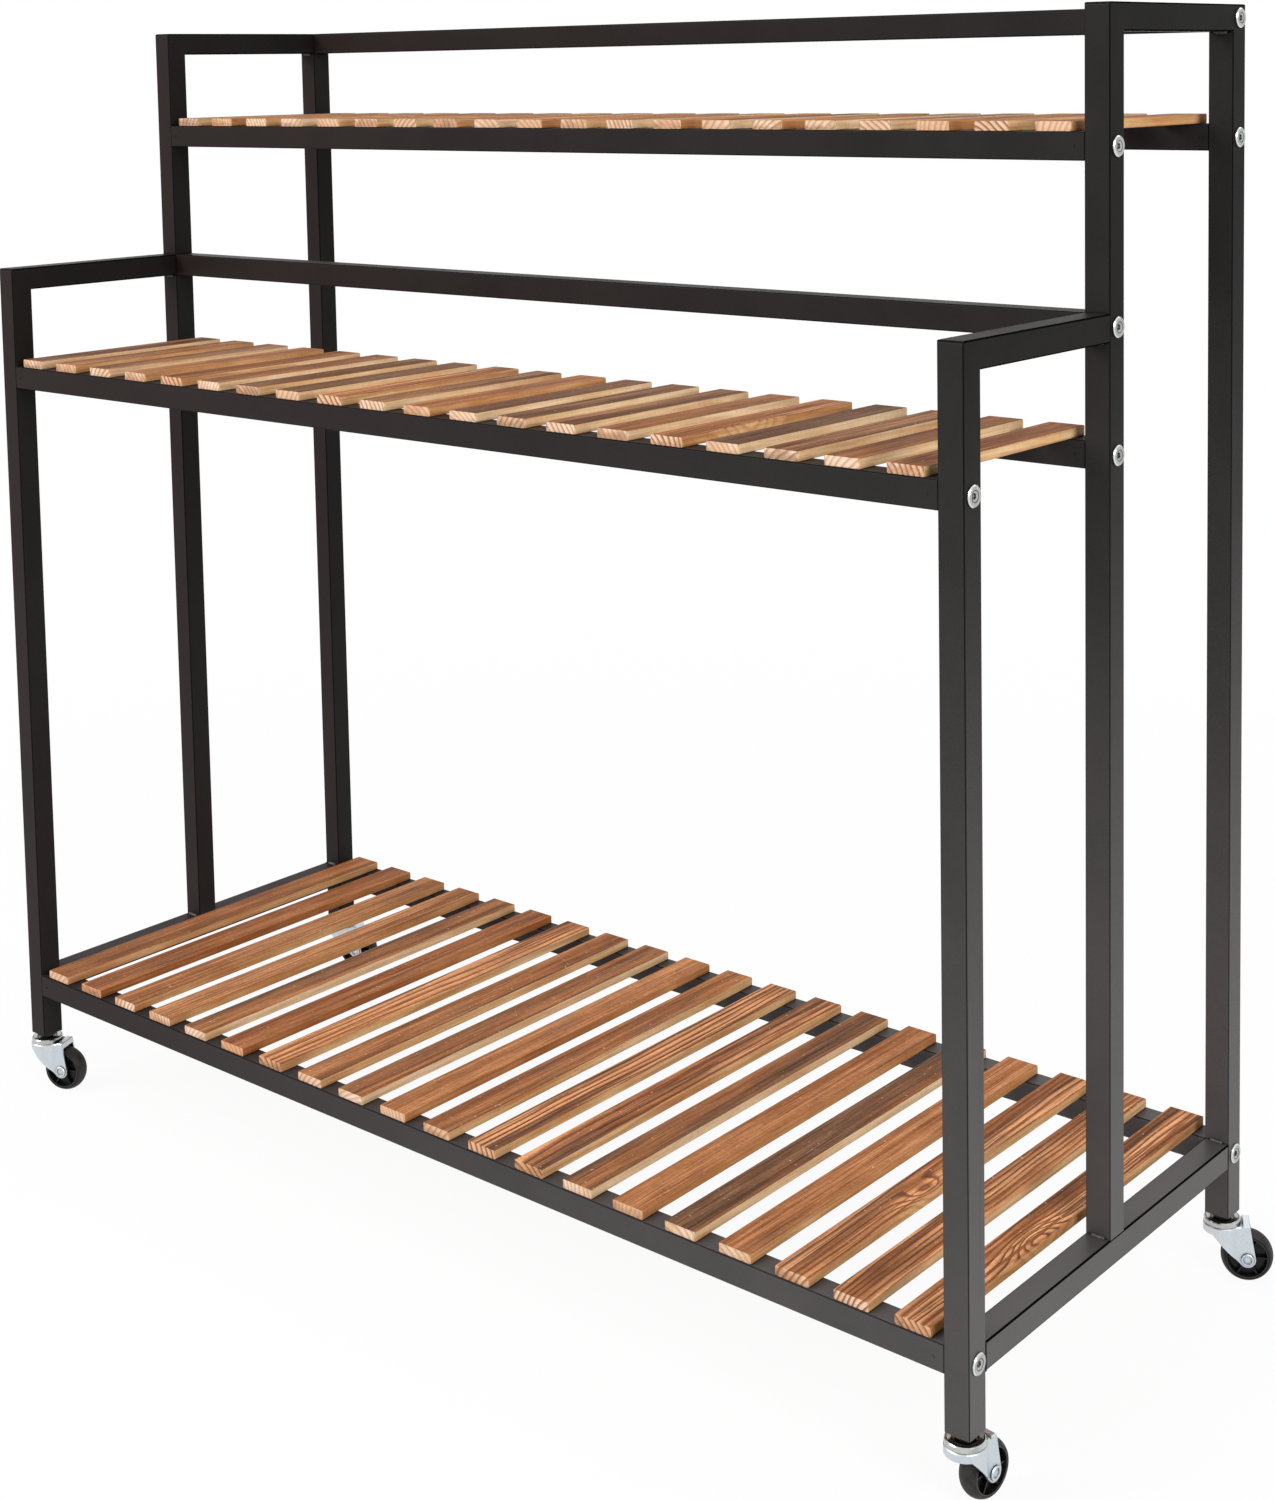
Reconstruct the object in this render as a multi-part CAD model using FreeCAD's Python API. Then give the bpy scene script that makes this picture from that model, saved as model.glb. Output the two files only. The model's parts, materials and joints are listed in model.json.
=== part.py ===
import FreeCAD, Part
import math
import os

from FreeCAD import Placement, Rotation, Vector

# Flower cart stand: two welded side frames of square tube, eight cross rails bolted
# between them, three slatted wooden shelves and four swivel casters.
# Lengths are millimetres.  X runs along the cart, -Y is the front, Z is up from the floor.

# --- whole cart ---
CART_LENGTH = 1300.0
CART_DEPTH = 480.0
CART_HEIGHT = 1230.0
CASTER_HEIGHT = 67.0
LEG_BELOW_RAIL = 49.0

# --- square tube ---
TUBE = 25.0
TUBE_WALL = 1.2
TUBE_CORNER = 1.5
TUBE_INNER_CORNER = 0.3
MITRE_ROUND = 3.0

# --- shelf and rail levels, measured to the underside of the tube ---
TOP_GUARD_RISE = 110.0
STEP_DOWN = 265.0
MIDDLE_GUARD_RISE = 111.0
BOTTOM_RAIL_Z = CASTER_HEIGHT + LEG_BELOW_RAIL
TOP_ARM_Z = CART_HEIGHT - TUBE
TOP_RAIL_Z = TOP_ARM_Z - TOP_GUARD_RISE
MIDDLE_ARM_Z = TOP_ARM_Z - STEP_DOWN
MIDDLE_RAIL_Z = MIDDLE_ARM_Z - MIDDLE_GUARD_RISE

# --- front to back ---
MIDDLE_POST_SETBACK = 228.0

# --- slats ---
SLATS_PER_SHELF = 20
SLAT_WIDTH = 36.0
SLAT_THICKNESS = 9.0
SLAT_EDGE_ROUND = 1.0
SLAT_END_GAP = 13.25
SLAT_SETBACK = 1.5

# --- slat screws, driven up from inside the rail ---
SCREW_RADIUS = 1.9
SCREW_HEAD_RADIUS = 3.6
SCREW_HEAD_HEIGHT = 2.2
SCREW_HEAD_BEVEL = 0.8
SCREW_POINT = 1.5
SCREW_BITE = 6.5
SCREW_HOLE_RADIUS = 2.1
ACCESS_HOLE_RADIUS = 4.5

# --- connector bolts and the nuts in the rail ends ---
BOLT_RADIUS = 3.0
BOLT_HEAD_RADIUS = 9.25
BOLT_HEAD_HEIGHT = 2.4
BOLT_HEAD_BEVEL = 0.9
BOLT_SOCKET_FLATS = 5.0
BOLT_SOCKET_DEPTH = 2.2
BOLT_MOUTH_RADIUS = 4.6
BOLT_MOUTH_DEPTH = 0.9
BOLT_REACH = 13.0
BOLT_HOLE_RADIUS = 3.3
NUT_LENGTH = 15.0
NUT_CORNER = 1.0
NUT_PLUG_INSET = 9.0
NUT_PLUG_RADIUS = 1.4
NUT_PLUG_RECESS = 0.3

# --- leg inserts ---
INSERT_LENGTH = 26.0
INSERT_CORNER = 1.0
INSERT_COLLAR_RADIUS = 10.0
INSERT_COLLAR_HEIGHT = 3.0

# --- casters ---
CASTER_HEAD_HEIGHT = 17.0
WHEEL_RADIUS = (CASTER_HEIGHT - CASTER_HEAD_HEIGHT) / 2
WHEEL_WIDTH = 18.0
WHEEL_CROWN = 2.6
WHEEL_RIM_INNER = WHEEL_RADIUS - 6.0
WHEEL_RIM_DRAFT = 1.5
WHEEL_WEB = 7.0
HUB_RADIUS = 6.5
HUB_WIDTH = 19.4
RIB_COUNT = 6
RIB_THICKNESS = 1.6
RIB_RECESS = 1.5
RIB_ROOT = 1.0
CASTER_TRAIL = 23.6
AXLE_RADIUS = 3.0
AXLE_HEAD_RADIUS = 6.0
AXLE_HEAD_HEIGHT = 1.8
AXLE_HEAD_BEVEL = 0.8
AXLE_DISH_RADIUS = 4.4
AXLE_DISH_DEPTH = 1.2
AXLE_DISH_SLOPE = 0.6
FORK_WIDTH = 24.0
FORK_SHEET = 2.0
FORK_PLATE_Z = CASTER_HEIGHT - 10.0
FORK_CUP_RADIUS = 18.2
FORK_BEND = 1.3
FORK_SKIRT_DROP = 7.8
FORK_SKIRT_END = -9.5
FORK_WAIST_RADIUS = 10.0
FORK_TAIL = 26.0
FORK_TAIL_RISE = 1.2
FORK_TAIL_BEVEL = 0.96
FORK_TAIL_LIP = 5.0
FORK_TIP_RADIUS = 8.0
KINGPIN_RADIUS = 4.0
KINGPIN_HEAD_RADIUS = 6.5
KINGPIN_HEAD_HEIGHT = 2.3
STEM_LENGTH = 24.0
STEM_FLANGE_FLATS = 13.0
RACE_RADIUS = 17.6
RACE_SHEET = 1.5
RACE_TRACK = 3.2
RACE_SHOULDER = 2.1
RACE_LIFT = 0.6
BALL_RADIUS = 2.0
BALL_CIRCLE = 13.2
BALL_COUNT = 12
BALL_LIFT = 1.6

# Swivel of each caster as it stands, in degrees from +X.
CASTER_SWIVEL = {
    "front_left": 22.7,
    "front_right": 83.3,
    "rear_left": 25.0,
    "rear_right": 29.5,
}

# --- clearances ---
FIT_GAP = 0.1
THREAD_GAP = 0.02
RUNNING_GAP = 0.06
BODY_GAP = 0.3

# --- edges and cuts ---
EDGE_BREAK = 1.0
CUT_MARGIN = 1.0
CUT_REACH = 4000.0

# --- derived ---
HALF_LENGTH = CART_LENGTH / 2
FRONT_Y = -CART_DEPTH / 2
REAR_Y = CART_DEPTH / 2 - TUBE
MIDDLE_Y = FRONT_Y + MIDDLE_POST_SETBACK
RAIL_LENGTH = CART_LENGTH - 2 * TUBE
TUBE_INNER = TUBE - 2 * TUBE_WALL
SLAT_PITCH = (RAIL_LENGTH - 2 * SLAT_END_GAP - SLAT_WIDTH) / (SLATS_PER_SHELF - 1)
AXLE_Z = WHEEL_RADIUS
STEM_BASE_Z = CASTER_HEIGHT - INSERT_COLLAR_HEIGHT
BALL_Z = FORK_PLATE_Z + BALL_LIFT
RACE_FLOOR_Z = BALL_Z + RACE_LIFT

# Rail name: (front face Y, underside Z)
RAILS = {
    "bottom_front_rail": (FRONT_Y, BOTTOM_RAIL_Z),
    "bottom_rear_rail": (REAR_Y, BOTTOM_RAIL_Z),
    "middle_front_rail": (FRONT_Y, MIDDLE_RAIL_Z),
    "middle_rear_rail": (MIDDLE_Y, MIDDLE_RAIL_Z),
    "middle_guard_rail": (MIDDLE_Y, MIDDLE_ARM_Z),
    "top_front_rail": (MIDDLE_Y, TOP_RAIL_Z),
    "top_rear_rail": (REAR_Y, TOP_RAIL_Z),
    "top_guard_rail": (REAR_Y, TOP_ARM_Z),
}

# Shelf name: (front rail, rear rail)
SHELVES = {
    "bottom": ("bottom_front_rail", "bottom_rear_rail"),
    "middle": ("middle_front_rail", "middle_rear_rail"),
    "top": ("top_front_rail", "top_rear_rail"),
}


def cylinder(radius, length, base, direction):
    return Part.makeCylinder(radius, length, base, direction)


def box(x0, x1, y0, y1, z0, z1):
    return Part.makeBox(x1 - x0, y1 - y0, z1 - z0, Vector(x0, y0, z0))


def revolve(points, axis):
    face = Part.Face(Part.makePolygon(points + [points[0]]))
    return face.revolve(Vector(0, 0, 0), axis, 360)


def point_on_circle(radius, degrees):
    angle = math.radians(degrees)
    return Vector(radius * math.cos(angle), radius * math.sin(angle), 0)


def rounded_square(size, radius):
    half = size / 2
    inner = half - radius
    diagonal = inner + radius * math.sqrt(0.5)
    edges = []
    for turn in range(4):
        spin = Rotation(Vector(0, 0, 1), 90 * turn)
        side_start = spin.multVec(Vector(half, -inner, 0))
        side_end = spin.multVec(Vector(half, inner, 0))
        corner_mid = spin.multVec(Vector(diagonal, diagonal, 0))
        corner_end = spin.multVec(Vector(inner, half, 0))
        edges.append(Part.LineSegment(side_start, side_end).toShape())
        edges.append(Part.Arc(side_end, corner_mid, corner_end).toShape())
    return Part.Face(Part.Wire(edges))


def square_tube(start, direction, length):
    """Tube whose axis starts at start and runs length along a principal direction."""
    outer = rounded_square(TUBE, TUBE_CORNER).extrude(Vector(0, 0, length))
    hollow = rounded_square(TUBE_INNER, TUBE_INNER_CORNER).extrude(Vector(0, 0, length))
    tube = outer.cut(hollow)
    tube.Placement = Placement(start, Rotation(Vector(0, 0, 1), direction))
    return tube


def mitre_cutter(y, z, lean):
    """Half space above the 45 degree plane through the line (y, z) along X."""
    block = box(-CUT_REACH, CUT_REACH, -CUT_REACH, CUT_REACH, 0, CUT_REACH)
    block.Placement = Placement(Vector(0, y, z), Rotation(Vector(1, 0, 0), lean))
    return block


def corner_cutter(y, z, inward_y):
    """Rounds the outer corner line (y, z) of a mitred joint below and beside it."""
    reach = MITRE_ROUND * inward_y
    y0, y1 = sorted((y - reach, y + reach))
    square = box(-CUT_REACH, CUT_REACH, y0, y1, z - MITRE_ROUND, z + MITRE_ROUND)
    centre = Vector(-CUT_REACH, y + reach, z - MITRE_ROUND)
    return square.cut(cylinder(MITRE_ROUND, 2 * CUT_REACH, centre, Vector(1, 0, 0)))


def rail_centre(name):
    y, z = RAILS[name]
    return y + TUBE / 2, z + TUBE / 2


def drill_for_rails(shape, names):
    for name in names:
        y, z = rail_centre(name)
        hole = cylinder(BOLT_HOLE_RADIUS, 2 * CUT_REACH, Vector(-CUT_REACH, y, z), Vector(1, 0, 0))
        shape = shape.cut(hole)
    return shape


def side_frame(side):
    """The six welded tubes of one side frame; side is -1 left or +1 right."""
    x = side * (HALF_LENGTH - TUBE / 2)
    half = TUBE / 2
    up = Vector(0, 0, 1)
    back = Vector(0, 1, 0)
    middle_top = MIDDLE_ARM_Z + TUBE

    front_corner = corner_cutter(FRONT_Y, middle_top, 1)
    front_mitre = mitre_cutter(FRONT_Y, middle_top, -45)
    front = square_tube(Vector(x, FRONT_Y + half, CASTER_HEIGHT), up, middle_top - CASTER_HEIGHT)
    front = front.cut(front_mitre).cut(front_corner)
    front = drill_for_rails(front, ["bottom_front_rail", "middle_front_rail"])

    arm = square_tube(Vector(x, FRONT_Y, MIDDLE_ARM_Z + half), back, MIDDLE_Y - FRONT_Y)
    arm = arm.common(front_mitre).cut(front_corner)

    crown_corner = corner_cutter(MIDDLE_Y, CART_HEIGHT, 1)
    crown_mitre = mitre_cutter(MIDDLE_Y, CART_HEIGHT, -45)
    foot_z = BOTTOM_RAIL_Z + TUBE
    middle = square_tube(Vector(x, MIDDLE_Y + half, foot_z), up, CART_HEIGHT - foot_z)
    middle = middle.cut(crown_mitre).cut(crown_corner)
    middle = drill_for_rails(middle, ["middle_rear_rail", "middle_guard_rail", "top_front_rail"])

    rear_face = REAR_Y + TUBE
    rear_corner = corner_cutter(rear_face, CART_HEIGHT, -1)
    rear_mitre = mitre_cutter(rear_face, CART_HEIGHT, 45)
    rear = square_tube(Vector(x, REAR_Y + half, CASTER_HEIGHT), up, CART_HEIGHT - CASTER_HEIGHT)
    rear = rear.cut(rear_mitre).cut(rear_corner)
    rear = drill_for_rails(rear, ["bottom_rear_rail", "top_rear_rail", "top_guard_rail"])

    top = square_tube(Vector(x, MIDDLE_Y, TOP_ARM_Z + half), back, rear_face - MIDDLE_Y)
    top = top.common(crown_mitre).common(rear_mitre).cut(crown_corner).cut(rear_corner)
    top = drill_for_rails(top, ["top_guard_rail"])

    low_start = Vector(x, FRONT_Y + TUBE, BOTTOM_RAIL_Z + half)
    low = square_tube(low_start, back, REAR_Y - FRONT_Y - TUBE)

    label = "right" if side > 0 else "left"
    return {
        "front_post_" + label: front,
        "middle_post_" + label: middle,
        "rear_post_" + label: rear,
        "bottom_side_rail_" + label: low,
        "middle_arm_" + label: arm,
        "top_arm_" + label: top,
    }


def slat_positions():
    first = -RAIL_LENGTH / 2 + SLAT_END_GAP + SLAT_WIDTH / 2
    return [first + SLAT_PITCH * index for index in range(SLATS_PER_SHELF)]


def cross_rail(name):
    y, z = rail_centre(name)
    rail = square_tube(Vector(-RAIL_LENGTH / 2, y, z), Vector(1, 0, 0), RAIL_LENGTH)
    cuts = []
    for side in (-1, 1):
        plug_x = side * (RAIL_LENGTH / 2 - NUT_PLUG_INSET)
        start = Vector(plug_x, y - TUBE, z)
        cuts.append(cylinder(NUT_PLUG_RADIUS + FIT_GAP, TUBE, start, Vector(0, 1, 0)))
    if any(name in pair for pair in SHELVES.values()):
        for x in slat_positions():
            cuts.append(cylinder(SCREW_HOLE_RADIUS, TUBE, Vector(x, y, z), Vector(0, 0, 1)))
            cuts.append(cylinder(ACCESS_HOLE_RADIUS, TUBE, Vector(x, y, z), Vector(0, 0, -1)))
    return rail.cut(Part.makeCompound(cuts))


def rail_end_nut(name, side):
    """Threaded block inside one rail end, with the plug that shows on the front face."""
    y, z = rail_centre(name)
    size = TUBE_INNER - 2 * FIT_GAP
    block = rounded_square(size, NUT_CORNER).extrude(Vector(0, 0, NUT_LENGTH))
    plug_length = TUBE / 2 - NUT_PLUG_RECESS
    plug_start = Vector(0, 0, NUT_PLUG_INSET)
    block = block.fuse(cylinder(NUT_PLUG_RADIUS, plug_length, plug_start, Vector(0, -1, 0)))
    thread = cylinder(BOLT_RADIUS + THREAD_GAP, NUT_LENGTH, Vector(0, 0, 0), Vector(0, 0, 1))
    block = block.cut(thread)
    start = Vector(side * RAIL_LENGTH / 2, y, z)
    axis_map = Rotation(Vector(0, 0, side), Vector(0, 1, 0), Vector(-side, 0, 0), "ZYX")
    block.Placement = Placement(start, axis_map)
    return block


def connector_bolt(name, side):
    y, z = rail_centre(name)
    head_top = BOLT_HEAD_HEIGHT
    bevelled = head_top - BOLT_HEAD_BEVEL
    mouth_floor = head_top - BOLT_MOUTH_DEPTH
    profile = [
        Vector(0, 0, mouth_floor),
        Vector(BOLT_SOCKET_FLATS / 2, 0, mouth_floor),
        Vector(BOLT_MOUTH_RADIUS, 0, head_top),
        Vector(BOLT_HEAD_RADIUS - BOLT_HEAD_BEVEL, 0, head_top),
        Vector(BOLT_HEAD_RADIUS, 0, bevelled),
        Vector(BOLT_HEAD_RADIUS, 0, 0),
        Vector(BOLT_RADIUS, 0, 0),
        Vector(BOLT_RADIUS, 0, EDGE_BREAK - TUBE - BOLT_REACH),
        Vector(BOLT_RADIUS - EDGE_BREAK, 0, -TUBE - BOLT_REACH),
        Vector(0, 0, -TUBE - BOLT_REACH),
    ]
    bolt = revolve(profile, Vector(0, 0, 1))
    bolt = bolt.cut(hexagon(BOLT_SOCKET_FLATS, head_top - BOLT_SOCKET_DEPTH, head_top + CUT_MARGIN))
    start = Vector(side * HALF_LENGTH, y, z)
    bolt.Placement = Placement(start, Rotation(Vector(0, 0, 1), Vector(side, 0, 0)))
    return bolt


def hexagon(flats, z0, z1):
    radius = flats / math.sqrt(3)
    corners = [point_on_circle(radius, 60 * index) for index in range(7)]
    prism = Part.Face(Part.makePolygon(corners)).extrude(Vector(0, 0, z1 - z0))
    prism.translate(Vector(0, 0, z0))
    return prism


def shelf(front_rail, rear_rail):
    """Slats and their screws for one shelf."""
    front_y, rail_z = RAILS[front_rail]
    rear_y = RAILS[rear_rail][0] + TUBE
    under = rail_z + TUBE
    slats = []
    screws = []
    for x in slat_positions():
        slat = box(
            x - SLAT_WIDTH / 2, x + SLAT_WIDTH / 2,
            front_y + SLAT_SETBACK, rear_y - SLAT_SETBACK,
            under, under + SLAT_THICKNESS,
        )
        slat = slat.makeFillet(SLAT_EDGE_ROUND, [e for e in slat.Edges if along_y(e)])
        for y in (rail_centre(front_rail)[0], rail_centre(rear_rail)[0]):
            hole_depth = SCREW_BITE + FIT_GAP
            start = Vector(x, y, under)
            pilot = cylinder(SCREW_RADIUS + THREAD_GAP, hole_depth, start, Vector(0, 0, 1))
            slat = slat.cut(pilot)
            screws.append(slat_screw(x, y, under))
        slats.append(slat)
    return Part.makeCompound(slats), Part.makeCompound(screws)


def along_y(edge):
    first, last = edge.Vertexes[0].Point, edge.Vertexes[-1].Point
    return abs(last.y - first.y) > SLAT_WIDTH


def slat_screw(x, y, under):
    seat = under - TUBE_WALL
    head_base = seat - SCREW_HEAD_HEIGHT
    tip = under + SCREW_BITE
    profile = [
        Vector(0, 0, head_base),
        Vector(SCREW_HEAD_RADIUS - SCREW_HEAD_BEVEL, 0, head_base),
        Vector(SCREW_HEAD_RADIUS, 0, head_base + SCREW_HEAD_BEVEL),
        Vector(SCREW_HEAD_RADIUS, 0, seat),
        Vector(SCREW_RADIUS, 0, seat),
        Vector(SCREW_RADIUS, 0, tip - SCREW_POINT),
        Vector(0, 0, tip),
    ]
    screw = revolve(profile, Vector(0, 0, 1))
    screw.translate(Vector(x, y, 0))
    return screw


def leg_insert():
    """Plug in a leg, in the caster's own frame: axis at the origin, floor at zero."""
    size = TUBE_INNER - 2 * FIT_GAP
    plug = rounded_square(size, INSERT_CORNER).extrude(Vector(0, 0, INSERT_LENGTH))
    plug.translate(Vector(0, 0, CASTER_HEIGHT))
    start = Vector(0, 0, STEM_BASE_Z)
    up = Vector(0, 0, 1)
    collar = cylinder(INSERT_COLLAR_RADIUS, INSERT_COLLAR_HEIGHT, start, up)
    bore_length = INSERT_COLLAR_HEIGHT + INSERT_LENGTH
    bore = cylinder(KINGPIN_RADIUS + THREAD_GAP, bore_length, start, up)
    return plug.fuse(collar).removeSplitter().cut(bore)


def caster_stem():
    """Threaded stem, hexagonal flange and kingpin with its peened head."""
    plate_under = FORK_PLATE_Z - FORK_SHEET
    head_top = plate_under - BODY_GAP
    head_base = head_top - KINGPIN_HEAD_HEIGHT
    stem_top = STEM_BASE_Z + STEM_LENGTH
    profile = [
        Vector(0, 0, head_base),
        Vector(KINGPIN_HEAD_RADIUS - EDGE_BREAK, 0, head_base),
        Vector(KINGPIN_HEAD_RADIUS, 0, head_base + EDGE_BREAK),
        Vector(KINGPIN_HEAD_RADIUS, 0, head_top),
        Vector(KINGPIN_RADIUS, 0, head_top),
        Vector(KINGPIN_RADIUS, 0, stem_top - EDGE_BREAK),
        Vector(KINGPIN_RADIUS - EDGE_BREAK, 0, stem_top),
        Vector(0, 0, stem_top),
    ]
    pin = revolve(profile, Vector(0, 0, 1))
    flange = hexagon(STEM_FLANGE_FLATS, RACE_FLOOR_Z + RACE_SHEET, STEM_BASE_Z)
    return pin.fuse(flange)


def upper_race():
    """Dished ring over the balls, pressed on the kingpin."""
    floor = RACE_FLOOR_Z
    track_z = BALL_Z + BALL_RADIUS + FIT_GAP
    lip = FORK_PLATE_Z + BODY_GAP
    hole = KINGPIN_RADIUS + THREAD_GAP
    half_track = RACE_TRACK / 2
    inner = BALL_CIRCLE - RACE_TRACK
    skirt = RACE_RADIUS - RACE_SHEET
    top_z = track_z + RACE_SHEET
    profile = [
        Vector(hole, 0, floor),
        Vector(inner, 0, floor),
        Vector(BALL_CIRCLE - half_track, 0, track_z),
        Vector(BALL_CIRCLE + half_track, 0, track_z),
        Vector(skirt, 0, track_z - half_track),
        Vector(skirt, 0, lip),
        Vector(RACE_RADIUS, 0, lip),
    ]
    for degrees in (0, 30, 60, 90):
        rim = point_on_circle(RACE_SHOULDER, degrees)
        centre_x = RACE_RADIUS - RACE_SHOULDER
        profile.append(Vector(centre_x + rim.x, 0, top_z - RACE_SHOULDER + rim.y))
    profile += [
        Vector(BALL_CIRCLE - half_track, 0, top_z),
        Vector(inner, 0, floor + RACE_SHEET),
        Vector(hole, 0, floor + RACE_SHEET),
    ]
    return revolve(profile, Vector(0, 0, 1))


def caster_balls():
    balls = []
    for index in range(BALL_COUNT):
        centre = point_on_circle(BALL_CIRCLE, 360 * index / BALL_COUNT)
        balls.append(Part.makeSphere(BALL_RADIUS, centre + Vector(0, 0, BALL_Z)))
    return Part.makeCompound(balls)


def fork_plan(inset, tail):
    """Plan outline of the stamping up to tail, inset from its outer skin.

    A round cup runs through a waist on each side into two parallel cheeks.
    """
    radius = FORK_CUP_RADIUS - inset
    half = FORK_WIDTH / 2 - inset
    waist_radius = FORK_WAIST_RADIUS + inset
    waist_centre_y = half + waist_radius
    waist_centre_x = math.sqrt((radius + waist_radius) ** 2 - waist_centre_y ** 2)
    waist_angle = math.degrees(math.atan2(waist_centre_y, waist_centre_x))
    waist = point_on_circle(radius, waist_angle)
    waist_arc_middle = (waist_angle - 180 - 90) / 2
    bend = Vector(waist_centre_x, waist_centre_y, 0) + point_on_circle(waist_radius, waist_arc_middle)
    corners = [
        Vector(tail, -half, 0),
        Vector(tail, half, 0),
        Vector(waist_centre_x, half, 0),
        waist,
        Vector(waist.x, -waist.y, 0),
        Vector(waist_centre_x, -half, 0),
    ]
    arcs = {
        2: bend,
        3: Vector(-radius, 0, 0),
        4: Vector(bend.x, -bend.y, 0),
    }
    edges = []
    for index, start in enumerate(corners):
        end = corners[(index + 1) % len(corners)]
        if index in arcs:
            edges.append(Part.Arc(start, arcs[index], end).toShape())
        else:
            edges.append(Part.LineSegment(start, end).toShape())
    return Part.Wire(edges)


def fork_shell(inset, tail, top):
    """Solid inside the stamping's outline, drawn in round its top edge."""
    wires = []
    for level_inset, z in ((inset + FORK_BEND, top), (inset, top - FORK_BEND), (inset, 0)):
        wire = fork_plan(level_inset, tail)
        wire.translate(Vector(0, 0, z))
        wires.append(wire)
    return Part.makeLoft(wires, True, True)


def fork_side_outline():
    """Side view of the stamping, extruded across it."""
    trail = CASTER_TRAIL
    tip = FORK_TIP_RADIUS
    skirt_z = FORK_PLATE_Z - FORK_SKIRT_DROP
    reach = math.hypot(trail - FORK_SKIRT_END, AXLE_Z - skirt_z)
    heading = math.atan2(AXLE_Z - skirt_z, trail - FORK_SKIRT_END)
    tangent = heading - math.asin(tip / reach) - math.pi / 2
    ceiling = FORK_PLATE_Z + TUBE
    nose_x = -FORK_CUP_RADIUS - CUT_MARGIN
    points = [
        Vector(nose_x, 0, ceiling),
        Vector(FORK_TAIL, 0, ceiling),
        Vector(FORK_TAIL, 0, FORK_PLATE_Z),
        Vector(trail + tip, 0, AXLE_Z),
        Vector(trail, 0, AXLE_Z),
        Vector(trail + tip * math.cos(tangent), 0, AXLE_Z + tip * math.sin(tangent)),
        Vector(FORK_SKIRT_END, 0, skirt_z),
        Vector(nose_x, 0, skirt_z),
    ]
    face = Part.Face(Part.makePolygon(points + [points[0]]))
    sheet = face.extrude(Vector(0, 2 * FORK_WIDTH, 0))
    disc = cylinder(tip, 2 * FORK_WIDTH, Vector(trail, 0, AXLE_Z), Vector(0, 1, 0))
    outline = sheet.fuse(disc)
    outline.translate(Vector(0, -FORK_WIDTH, 0))
    return outline


def fork_tail_step():
    """Raised step of the top plate behind the race."""
    half = FORK_WIDTH / 2
    start = RACE_RADIUS + FORK_BEND
    base = FORK_PLATE_Z - FORK_SHEET
    step = box(start, FORK_TAIL, -half, half, base, FORK_PLATE_Z + FORK_TAIL_RISE)
    top_edges = [e for e in step.Edges if e.CenterOfMass.z > FORK_PLATE_Z]
    return step.makeChamfer(FORK_TAIL_BEVEL, top_edges)


def fork():
    """Stamped fork: race cup in front, two cheeks that hold the axle behind."""
    outer_tail = CASTER_TRAIL + FORK_TIP_RADIUS + FORK_SHEET
    outer = fork_shell(0, outer_tail, FORK_PLATE_Z).common(fork_side_outline())
    inner = fork_shell(FORK_SHEET, FORK_TAIL - FORK_SHEET, FORK_PLATE_Z - FORK_SHEET)
    tail_mouth = FORK_WIDTH / 2 - FORK_SHEET
    behind = box(0, CUT_REACH, -tail_mouth, tail_mouth, -CUT_REACH, FORK_PLATE_Z - FORK_TAIL_LIP)
    body = outer.cut(inner).cut(behind).fuse(fork_tail_step())
    up = Vector(0, 0, 1)
    pin_hole = cylinder(KINGPIN_RADIUS + RUNNING_GAP, CUT_REACH, Vector(0, 0, 0), up)
    groove = Part.makeTorus(BALL_CIRCLE, BALL_RADIUS + RUNNING_GAP, Vector(0, 0, BALL_Z), up)
    start = Vector(CASTER_TRAIL, -FORK_WIDTH, AXLE_Z)
    axle_hole = cylinder(AXLE_RADIUS + THREAD_GAP, 2 * FORK_WIDTH, start, Vector(0, 1, 0))
    return body.cut(pin_hole).cut(groove).cut(axle_hole).removeSplitter()


def axle():
    """Rivet through the fork and wheel, with a dished head on each cheek."""
    half = FORK_WIDTH / 2
    head = half + AXLE_HEAD_HEIGHT
    profile = [
        Vector(0, AXLE_DISH_DEPTH - head, 0),
        Vector(AXLE_DISH_RADIUS - AXLE_DISH_SLOPE, AXLE_DISH_DEPTH - head, 0),
        Vector(AXLE_DISH_RADIUS, -head, 0),
        Vector(AXLE_HEAD_RADIUS - AXLE_HEAD_BEVEL, -head, 0),
        Vector(AXLE_HEAD_RADIUS, AXLE_HEAD_BEVEL - head, 0),
        Vector(AXLE_HEAD_RADIUS, -half, 0),
        Vector(AXLE_RADIUS, -half, 0),
    ]
    profile += [Vector(point.x, -point.y, 0) for point in reversed(profile)]
    rivet = revolve(profile, Vector(0, 1, 0))
    rivet.translate(Vector(CASTER_TRAIL, 0, AXLE_Z))
    return rivet


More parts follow.
